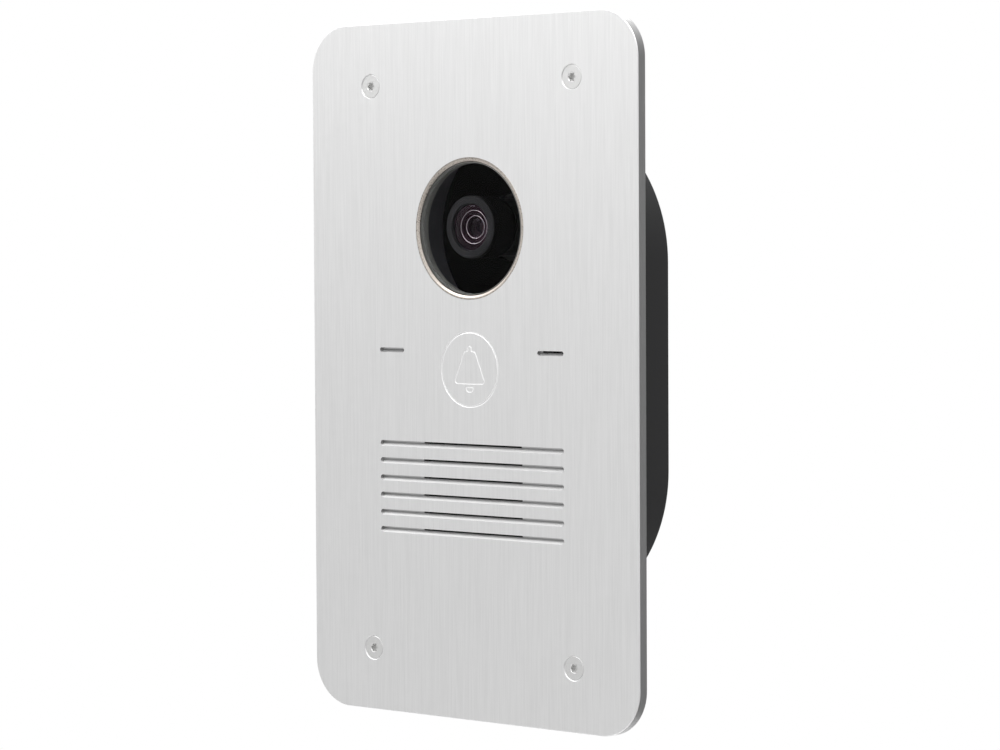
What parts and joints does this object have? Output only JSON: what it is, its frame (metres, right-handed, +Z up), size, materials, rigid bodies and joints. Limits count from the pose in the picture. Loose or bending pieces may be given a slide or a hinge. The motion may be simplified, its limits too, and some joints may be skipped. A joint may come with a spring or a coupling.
{
  "type": "video doorbell",
  "caption": "Flush video doorbell: brushed plate with camera window, round call button, slotted speaker grille and microphone slots, and a round-ended housing behind.",
  "frame": {"origin": "middle of the wall opening, in the plane of the front plate's back face", "axes": "+Z up, +Y into the wall, +X to the right as the visitor sees it; the front faces -Y"},
  "size_m": [0.11, 0.032, 0.18],
  "materials": {
    "brushed_aluminium": "fine vertical brushing, clear anodised",
    "window_trim": "champagne anodised, bevelled",
    "window_pane": "clear and polished",
    "lens_glass": "coated, with a faint violet tint",
    "lens_barrel": "black anodised",
    "black_plastic": "moulded, satin",
    "rubber": "matt",
    "lead_jacket": "satin",
    "foam": "closed-cell foam",
    "acoustic_mesh": "fine woven mesh",
    "speaker_cone": "pressed film",
    "steel": "plated",
    "fastener_steel": "stainless",
    "circuit_board": "green solder resist",
    "chip": "moulded epoxy",
    "capacitor_sleeve": "dark sleeve",
    "terminal_green": "moulded",
    "switch_grey": "moulded",
    "flex": "amber film"
  },
  "bodies": {
    "root": {"front_plate": "brushed_aluminium", "rear_housing": "black_plastic", "housing_gasket": "rubber", "window_trim": "window_trim", "camera_shroud": "black_plastic", "lens_barrel": "lens_barrel", "shroud_gasket": "foam", "speaker_frame": "black_plastic", "window_seal": "rubber", "speaker_lead": "lead_jacket", "microphone_lead": "lead_jacket", "main_board": "circuit_board", "button_guide": "black_plastic", "microphone_boot": "rubber", "lens_front_element": "lens_glass", "button_seal": "rubber", "speaker_gasket": "foam", "lens_holder": "black_plastic", "window_pane": "window_pane", "speaker_magnet": "steel", "lens_inner_element": "lens_glass", "camera_board_screw_1": "fastener_steel", "camera_board_screw_2": "fastener_steel", "board_screw_1": "fastener_steel", "board_screw_2": "fastener_steel", "board_screw_3": "fastener_steel", "board_screw_4": "fastener_steel", "plate_screw_1": "fastener_steel", "plate_screw_2": "fastener_steel", "plate_screw_3": "fastener_steel", "plate_screw_4": "fastener_steel", "camera_board": "circuit_board", "acoustic_mesh": "acoustic_mesh", "capacitor_1": "capacitor_sleeve", "capacitor_2": "capacitor_sleeve", "plate_stud_1": "fastener_steel", "flange_nut_1": "fastener_steel", "plate_stud_2": "fastener_steel", "flange_nut_2": "fastener_steel", "plate_stud_3": "fastener_steel", "flange_nut_3": "fastener_steel", "plate_stud_4": "fastener_steel", "flange_nut_4": "fastener_steel", "camera_flex": "flex", "call_switch": "black_plastic", "reset_switch": "black_plastic", "speaker_pad": "foam", "microphone_capsule": "steel", "network_jack": "black_plastic", "power_transformer": "chip", "terminal_header": "terminal_green", "image_sensor": "chip", "relay": "black_plastic", "processor": "chip"},
    "call_button": {"call_button": "brushed_aluminium"},
    "switch_plunger": {"switch_plunger": "switch_grey"},
    "speaker_cone": {"speaker_cone": "speaker_cone"},
    "terminal_plug": {"terminal_plug": "terminal_green"},
    "reset_button": {"reset_button": "switch_grey"}
  },
  "joints": [
    {"name": "call_button_press", "type": "slide", "parent": "root", "child": "call_button", "axis": [0, 1, 0], "range_m": [0, 0.0005], "stiffness_N_per_m": 2000, "springref_m": -0.001},
    {"name": "switch_plunger_press", "type": "slide", "parent": "root", "child": "switch_plunger", "axis": [0, 1, 0], "range_m": [0, 0.0005]},
    {"name": "speaker_cone_travel", "type": "slide", "parent": "root", "child": "speaker_cone", "axis": [0, 1, 0], "range_m": [-0.0004, 0.0004], "stiffness_N_per_m": 1500},
    {"name": "reset_button_press", "type": "slide", "parent": "root", "child": "reset_button", "axis": [0, -1, 0], "range_m": [0, 0.0003], "stiffness_N_per_m": 3000, "springref_m": -0.0003},
    {"name": "terminal_plug_pull", "type": "slide", "parent": "root", "child": "terminal_plug", "axis": [0, 1, 0], "range_m": [0, 0.009]}
  ],
  "couplings": [
    {"joint": "switch_plunger_press", "follows": "call_button_press", "ratio": 1}
  ]
}
